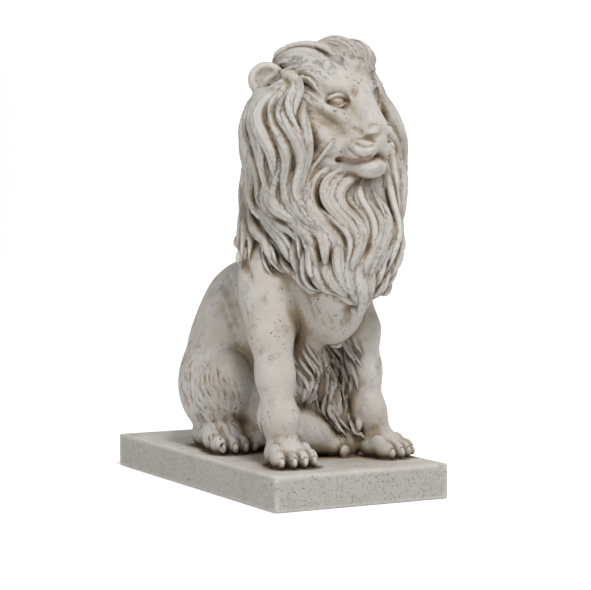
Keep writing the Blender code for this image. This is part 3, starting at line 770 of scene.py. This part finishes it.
def folds(clay):
    """The loose skin of the flank, the crease behind the shoulder, and the strokes on the chest."""
    for side in (-1, 1):
        engrave(clay, curve((side * 39, 19, 145), (side * 42, -8, 124), (side * 41, -14, 96)), 2.6, 4.5)
        engrave(clay, curve((side * 34, 22, 152), (side * 42, -2, 138), (side * 41, -17, 112)), 2.0, 4.0)
        engrave(clay, curve((side * 46, 16, 131), (side * 46, -2, 112), (side * 42, -10, 92)), 2.2, 4.0)
        engrave(clay, curve((side * 55, -42, 176), (side * 60, -58, 162), (side * 56, -70, 146)), 2.4, 4.0)
        engrave(clay, curve((side * 57, -60, 134), (side * 61, -70, 124), (side * 60, -71, 112)), 1.2, 1.5)
    for row in range(8):
        drop = 9.0 * (row % 2)
        start = np.array((-26.0 + 4.6 * row, -104.0 - 1.0 * row, 140.0 - 3.2 * row - drop))
        bow = start + np.array((1.0, -1.0, -6.0))
        engrave(clay, curve(start, bow, start + np.array((5.0, -2.0, -11.0))), 1.1, 0.6)


def coat(clay):
    """The short fur of the haunches, and the fur between the legs."""
    chance = np.random.default_rng(7)
    for side in (-1, 1):
        low = Egg((side * 62, 6, 46), (20, 50, 34))
        fur_strokes(clay, low, (0.0, -0.45, -1.0), 5.0, 15.0, 1.25, chance)
        high = Egg((side * 60, 36, 76), (20, 34, 26))
        fur_strokes(clay, high, (0.0, 0.3, -1.0), 7.0, 15.0, 1.1, chance)
    fur_strokes(clay, Egg((6, -70, 60), (26, 16, 50)), (0.2, 0.0, -1.0), 3.4, 9.0, 0.7, chance)


def wrist_tufts(clay):
    """Leaf-like tufts of fur behind each wrist."""
    for side in (-1, 1):
        wrist = np.array((side * 50.0, -80.0 + 8.0 * (side > 0), 40.0))
        for row in range(3):
            start = wrist + np.array((side * (2.0 - row), 5.0 * row - 2.0, 16.0 - 5.0 * row))
            bow = start + np.array((side * 3.0, 1.5, -10.0))
            path = curve(start, bow, start + np.array((side * -1.0, -2.0, -22.0)))
            blades = []
            for step, (here, there) in enumerate(zip(path[:-1], path[1:])):
                wide = [4.6 * math.sin(math.pi * (0.2 + 0.78 * (step + end) / 5.0)) for end in (0, 1)]
                blades.append(Blade(here, there, np.array((side, 0.3, 0.0)), wide, (1.7, 1.5), 3, 0.6))
            clay.press_chain(blades, 0.8)


def whiskers(clay):
    """The folds of the lips where the whiskers grow, and the wrinkles beside the nose."""
    for side in (-1, 1):
        for row in range(3):
            drop = 4.1 * row
            start = HEAD.point((side * (21.0 - 0.5 * row), -46.5 - row, -29.5 - drop))
            bow = HEAD.point((side * 15.5, -56.5, -36.5 - 0.7 * drop))
            end = HEAD.point((side * (7.5 + row), -62.0, -34.0 - 0.6 * drop))
            engrave(clay, curve(start, bow, end, 7), 1.7, 0.9)
        side_of_nose = HEAD.point((side * 16.0, -47.0, -22.0))
        bow = HEAD.point((side * 15.5, -54.0, -21.0))
        engrave(clay, curve(side_of_nose, bow, HEAD.point((side * 14.5, -57.0, -27.0))), 1.3, 1.6)


def sculpt(cell, fillet, strands, depth):
    """The whole lion as clay, with the plinth's top at zero, in drawn units."""
    edge = np.array((PLINTH_WIDTH, PLINTH_LENGTH)) / (2 * UNIT) + 4
    low = (-edge[0], -edge[1], -PLINTH_HEIGHT / UNIT - 4)
    clay = Clay(low, (edge[0], edge[1], DRAWN_HEIGHT + 10), cell)
    torso(clay)
    for side in (-1, 1):
        haunch(clay, side)
        foreleg(clay, side)
    belly_fur(clay)
    tail(clay)
    neck(clay)
    tuft(clay)
    head(clay)
    mane(clay, fillet, strands, depth)
    belly_locks(clay, fillet, strands, depth)
    for side in (-1, 1):
        ear(clay, side)
    folds(clay)
    whiskers(clay)
    coat(clay)
    wrist_tufts(clay)
    return clay


def plinth(clay):
    """The flat block under the lion, with a notch in its near corner and a chip in its front edge."""
    halves = np.array((PLINTH_WIDTH, PLINTH_LENGTH, PLINTH_HEIGHT)) / (2 * UNIT)
    clay.press(Brick((0, 0, -halves[2]), halves, PLINTH_EDGE / UNIT), 1.5)
    clay.cut(Egg((-halves[0], -halves[1], -11), (2.4, 2.4, 3.4)), 0.8)
    clay.cut(Egg((halves[0] - 6, -halves[1], 0), (4.5, 1.8, 1.8)), 0.8)


def largest_shell(mesh):
    """Removes every loose piece of a mesh but the largest."""
    work = bmesh.new()
    work.from_mesh(mesh)
    work.verts.ensure_lookup_table()
    seen = np.zeros(len(work.verts), bool)
    shells = []
    for start in work.verts:
        if seen[start.index]:
            continue
        seen[start.index] = True
        shell, front = [start], [start]
        while front:
            for link in front.pop().link_edges:
                for vert in link.verts:
                    if not seen[vert.index]:
                        seen[vert.index] = True
                        shell.append(vert)
                        front.append(vert)
        shells.append(shell)
    shells.sort(key=len)
    for shell in shells[:-1]:
        bmesh.ops.delete(work, geom=shell, context="VERTS")
    work.to_mesh(mesh)
    work.free()


def even_out(mesh, longest):
    """Parts every edge longer than the given length, so that flat faces hold enough points."""
    work = bmesh.new()
    work.from_mesh(mesh)
    for _ in range(6):
        edges = [edge for edge in work.edges if edge.calc_length() > longest]
        if not edges:
            break
        bmesh.ops.subdivide_edges(work, edges=edges, cuts=1)
        bmesh.ops.triangulate(work, faces=[face for face in work.faces if len(face.verts) > 3])
    work.to_mesh(mesh)
    work.free()


def casting(clay):
    """The clay's skin as one mesh in metres, with the plinth's underside at zero."""
    points, faces = clay.skin()
    points = points * UNIT + np.array((0.0, 0.0, PLINTH_HEIGHT))
    mesh = bpy.data.meshes.new(PIECE)
    mesh.from_pydata(points.tolist(), [], faces[:, ::-1].tolist())
    statue = bpy.data.objects.new(PIECE, mesh)
    bpy.context.scene.collection.objects.link(statue)
    thin = statue.modifiers.new("thin", "DECIMATE")
    thin.ratio = TRIANGLES / (2.0 * len(mesh.polygons))
    shape = bpy.data.meshes.new_from_object(statue.evaluated_get(bpy.context.evaluated_depsgraph_get()))
    statue.modifiers.clear()
    statue.data = shape
    shape.name = PIECE
    largest_shell(shape)
    even_out(shape, LONGEST_EDGE)
    shape.shade_smooth()
    return statue


def measure_shelter(statue, clay):
    """Keeps on each point how sheltered it lies, how far it stands out, and how the hair is combed."""
    mesh = statue.data
    points = np.empty(len(mesh.vertices) * 3, np.float32)
    mesh.vertices.foreach_get("co", points)
    points = (points.reshape(-1, 3).astype(float) - np.array((0.0, 0.0, PLINTH_HEIGHT))) / UNIT
    corners, faces = clay.skin(every=2)
    wide = openvdb.createLinearTransform(voxelSize=AIR_CELL)
    grid = openvdb.FloatGrid.createLevelSetFromPolygons(
        corners.astype(np.float32), quads=faces, transform=wide, halfWidth=AIR_BAND
    )
    air = Clay(points.min(0) - AIR_MARGIN, points.max(0) + AIR_MARGIN, AIR_CELL)
    air.low = np.round(air.low / AIR_CELL) * AIR_CELL
    grid.copyToArray(air.field, ijk=tuple(int(v) for v in np.round(air.low / AIR_CELL)))
    outs = clay.outward(points, 1.2)
    near, middle, far = (air.sample(points + reach * outs) / reach for reach in AIR_REACHES)
    # How sheltered each point lies: the stone is darkened there, partly as dirt and partly as painted
    # shade.
    hollow = np.clip(1.0 - 0.5 * (near + middle), 0.0, 1.0)
    deep = np.clip(1.0 - far, 0.0, 1.0)
    ridge = np.clip(1.0 + air.sample(points - RIDGE_REACH * outs) / RIDGE_REACH, 0.0, 1.0)
    across, hair = combing(points, clay.combed)
    kept = {"hollow": hollow, "deep": deep, "ridge": ridge, "across": across, "hair": hair}
    for name, values in kept.items():
        layer = mesh.attributes.new(name, "FLOAT", "POINT")
        layer.data.foreach_set("value", values.astype(np.float32))


def combing(points, locks):
    """How far each point lies across its own lock of hair, and whether it lies on one at all."""
    blades = [blade for lock in locks for blade in lock]
    own = np.array([index for index, lock in enumerate(locks) for _ in lock])
    start = np.array([blade.start for blade in blades])
    along = np.array([blade.along for blade in blades])
    side = np.array([blade.across for blade in blades])
    out = np.array([blade.out for blade in blades])
    length = np.array([blade.length for blade in blades])
    wide = np.array([blade.wide for blade in blades])
    thick = np.array([blade.thick for blade in blades])
    tree = KDTree(len(blades))
    for index, middle in enumerate(start + 0.5 * length[:, None] * along):
        tree.insert(middle, index)
    tree.balance()
    near = np.array([[hit[1] for hit in tree.find_n(point, NEAR_BLADES)] for point in points])
    gap = points[:, None] - start[near]
    run = (gap * along[near]).sum(2)
    part = np.clip(run / length[near], 0.0, 1.0)
    past = run - part * length[near]
    half = wide[near, 0] + part * (wide[near, 1] - wide[near, 0])
    deep = thick[near, 0] + part * (thick[near, 1] - thick[near, 0])
    offset = (gap * side[near]).sum(2)
    lift = (gap * out[near]).sum(2)
    off = np.sqrt((offset / half) ** 2 + (lift / deep) ** 2 + (past / deep) ** 2)
    off = (off - 1.0) * deep
    best = off.argmin(1)
    row = np.arange(len(points))
    lock = own[near]
    rival = np.where(lock == lock[row, best][:, None], FAR, off).min(1)
    hair = ramp(rival - off[row, best], 0.0, 0.8) * (1.0 - ramp(off[row, best], 0.6, 1.6))
    return offset[row, best] + COMB_SHIFT * (lock[row, best] % COMB_SHIFTS), hair


class Nodes:
    """A material's node tree, with a short way to add each kind of node it needs."""

    def __init__(self, name):
        self.material = bpy.data.materials.new(name)
        self.material.use_nodes = True
        self.tree = self.material.node_tree
        self.surface = self.tree.nodes["Principled BSDF"]
        self.place = self.add("ShaderNodeTexCoord").outputs["Object"]

    def add(self, kind, inputs=(), **settings):
        """A node with its settings, and with its inputs linked or given a value."""
        node = self.tree.nodes.new(kind)
        for name, value in settings.items():
            setattr(node, name, value)
        for name, value in dict(inputs).items():
            self.feed(node.inputs[name], value)
        return node

    def feed(self, socket, value):
        if isinstance(value, bpy.types.NodeSocket):
            self.tree.links.new(value, socket)
        else:
            socket.default_value = value

    def noise(self, scale, detail, roughness=0.6):
        inputs = {"Vector": self.place, "Scale": scale, "Detail": detail, "Roughness": roughness}
        return self.add("ShaderNodeTexNoise", inputs).outputs["Fac"]

    def point(self, name):
        """A value kept on the mesh's points."""
        return self.add("ShaderNodeAttribute", attribute_name=name).outputs["Fac"]

    def math(self, operation, first, second=0.0):
        return self.add("ShaderNodeMath", {0: first, 1: second}, operation=operation).outputs[0]

    def plus(self, first, second):
        return self.math("ADD", first, second)

    def minus(self, first, second):
        return self.math("SUBTRACT", first, second)

    def times(self, first, second):
        return self.math("MULTIPLY", first, second)

    def ramp(self, value, low, high):
        """Zero below low, one above high, and smooth between."""
        inputs = {"Value": value, "From Min": low, "From Max": high}
        node = self.add("ShaderNodeMapRange", inputs, interpolation_type="SMOOTHSTEP")
        return node.outputs["Result"]

    def mix(self, part, first, second):
        """One colour mixed into another."""
        node = self.add("ShaderNodeMix", data_type="RGBA")
        for index, value in ((0, part), (6, first), (7, second)):
            self.feed(node.inputs[index], value)
        return node.outputs[2]


def stone():
    """Pale cast stone with painted shade and dirt in its hollows, pitted, and coarser on the plinth's
    sides.
    """
    nodes = Nodes("weathered_and_shaded_stone")
    height = nodes.add("ShaderNodeSeparateXYZ", {0: nodes.place}).outputs["Z"]
    hollow, deep, ridge = nodes.point("hollow"), nodes.point("deep"), nodes.point("ridge")
    patches, clouds = nodes.noise(14.0, 5.0), nodes.noise(70.0, 6.0)
    grain, sand = nodes.noise(700.0, 5.0, 0.7), nodes.noise(430.0, 5.0, 0.75)

    colour = nodes.mix(nodes.ramp(patches, 0.35, 0.65), PALE_STONE, WARM_STONE)
    colour = nodes.mix(nodes.ramp(clouds, 0.49, 0.80), colour, GREY_STONE)
    sides = nodes.minus(1.0, nodes.ramp(height, PLINTH_HEIGHT - 0.002, PLINTH_HEIGHT))
    colour = nodes.mix(nodes.times(sides, 0.85), colour, PLINTH_STONE)
    grit = nodes.times(nodes.ramp(sand, 0.5, 0.75), sides)
    colour = nodes.mix(nodes.times(grit, 0.95), colour, GRIT)

    # Ochre stain in the deep, sheltered places, which also stands in for the shade that falls there.
    ochre_and_shade = nodes.times(nodes.ramp(deep, 0.06, 0.6), nodes.ramp(patches, 0.34, 0.58))
    colour = nodes.mix(nodes.times(ochre_and_shade, 0.7), colour, OCHRE)
    # Brown and near-black in the hollows: dirt, and painted shade where the shade falls.
    grime_and_shade = nodes.plus(hollow, nodes.times(nodes.minus(clouds, 0.5), 0.5))
    colour = nodes.mix(nodes.times(nodes.ramp(grime_and_shade, 0.04, 0.34), 0.75), colour, BROWN)
    colour = nodes.mix(nodes.times(nodes.ramp(grime_and_shade, 0.30, 0.80), 0.85), colour, DIRT_AND_SHADE)
    colour = nodes.mix(nodes.times(nodes.ramp(ridge, 0.15, 0.5), 0.35), colour, WORN)

    specks = nodes.ramp(nodes.noise(420.0, 2.0, 0.5), 0.65, 0.71)
    pits = nodes.times(specks, nodes.ramp(nodes.noise(38.0, 2.0), 0.40, 0.60))
    bare = nodes.minus(1.0, nodes.times(nodes.point("hair"), 0.6))
    pits = nodes.times(pits, bare)
    colour = nodes.mix(nodes.times(pits, 0.8), colour, DIRT_AND_SHADE)

    rough = nodes.add("ShaderNodeMapRange", {"Value": clouds, "To Min": 0.74, "To Max": 0.95})
    nodes.feed(nodes.surface.inputs["Roughness"], rough.outputs["Result"])
    nodes.surface.inputs["Specular IOR Level"].default_value = 0.3

    drift = nodes.times(nodes.minus(nodes.noise(120.0, 3.0), 0.5), 3.0)
    strand = 0.0
    for comb, share in COMBS:
        angle = nodes.plus(nodes.times(nodes.point("across"), comb), drift)
        groove = nodes.math("POWER", nodes.math("ABSOLUTE", nodes.math("SINE", angle)), 0.7)
        strand = nodes.plus(nodes.times(nodes.minus(1.0, groove), share), strand)
    strand = nodes.times(strand, nodes.point("hair"))
    colour = nodes.mix(nodes.times(strand, 0.30), colour, GRIT)
    nodes.feed(nodes.surface.inputs["Base Color"], colour)

    relief = nodes.minus(nodes.times(grain, 0.45), pits)
    relief = nodes.plus(relief, nodes.times(clouds, 1.2))
    relief = nodes.minus(relief, nodes.times(strand, 1.6))
    relief = nodes.plus(relief, nodes.times(nodes.times(sand, sides), 1.6))
    bump = nodes.add("ShaderNodeBump", {"Height": relief, "Strength": 0.8, "Distance": 0.0006})
    nodes.feed(nodes.surface.inputs["Normal"], bump.outputs["Normal"])
    return nodes.material


def pale_paint():
    """A plain matt white with a faint glow, for the sweep."""
    material = bpy.data.materials.new("sweep_white")
    material.use_nodes = True
    inputs = material.node_tree.nodes["Principled BSDF"].inputs
    inputs["Base Color"].default_value = (0.93, 0.93, 0.925, 1.0)
    inputs["Roughness"].default_value = 0.9
    inputs["Emission Color"].default_value = (1.0, 1.0, 1.0, 1.0)
    inputs["Emission Strength"].default_value = SWEEP_GLOW
    return material


def sweep():
    """A pale floor that bends up into a wall behind the statue, square to the camera."""
    outline = [(-SWEEP_REACH, 0.0)]
    for step in range(SWEEP_STEPS + 1):
        bend = 0.5 * math.pi * step / SWEEP_STEPS
        outline.append((SWEEP_START + SWEEP_BEND * math.sin(bend), SWEEP_BEND * (1.0 - math.cos(bend))))
    outline.append((SWEEP_START + SWEEP_BEND, SWEEP_REACH))
    mesh = bpy.data.meshes.new("sweep")
    points = [(side * SWEEP_REACH, back, rise) for back, rise in outline for side in (-1, 1)]
    faces = [(i, i + 1, i + 3, i + 2) for i in range(0, len(points) - 2, 2)]
    mesh.from_pydata(points, [], faces)
    mesh.shade_smooth()
    mesh.materials.append(pale_paint())
    backdrop = bpy.data.objects.new("sweep", mesh)
    backdrop.rotation_euler = (0.0, 0.0, math.radians(VIEW_TURN))
    bpy.context.scene.collection.objects.link(backdrop)


def studio():
    """Soft light from above and from both sides, the sweep, and the camera."""
    scene = bpy.context.scene
    scene.view_settings.view_transform = "Standard"
    sweep()
    world = bpy.data.worlds.new("studio")
    world.use_nodes = True
    sky = world.node_tree.nodes["Background"].inputs
    sky["Color"].default_value = (1.0, 1.0, 1.0, 1.0)
    sky["Strength"].default_value = SKY
    scene.world = world
    for name, place, size, power in LAMPS:
        light = bpy.data.lights.new(name, "AREA")
        light.size, light.energy = size, power
        lamp = bpy.data.objects.new(name, light)
        lamp.location = place
        lamp.visible_camera = False
        lamp.rotation_mode = "QUATERNION"
        lamp.rotation_quaternion = (Vector(place) - Vector(LAMP_AIM)).to_track_quat("Z", "Y")
        scene.collection.objects.link(lamp)

    turn, rise = math.radians(VIEW_TURN), math.radians(VIEW_RISE)
    back = Vector((math.sin(turn) * math.cos(rise), -math.cos(turn) * math.cos(rise), math.sin(rise)))
    right = Vector((math.cos(turn), math.sin(turn), 0.0))
    camera = bpy.data.objects.new("camera", bpy.data.cameras.new("camera"))
    camera.data.lens = VIEW_LENS
    camera.location = right * VIEW_AIM[0] + Vector((0.0, 0.0, VIEW_AIM[1])) + back * VIEW_DISTANCE
    camera.rotation_mode = "QUATERNION"
    camera.rotation_quaternion = back.to_track_quat("Z", "Y")
    scene.collection.objects.link(camera)
    scene.camera = camera


def main():
    """Builds the statue and its studio."""
    clay = sculpt(CELL, FILLET, STRANDS, STRAND_DEPTH)
    plinth(clay)
    statue = casting(clay)
    measure_shelter(statue, clay)
    statue.data.materials.append(stone())
    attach(statue, "root")
    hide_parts("lion_statue")
    studio()


main()
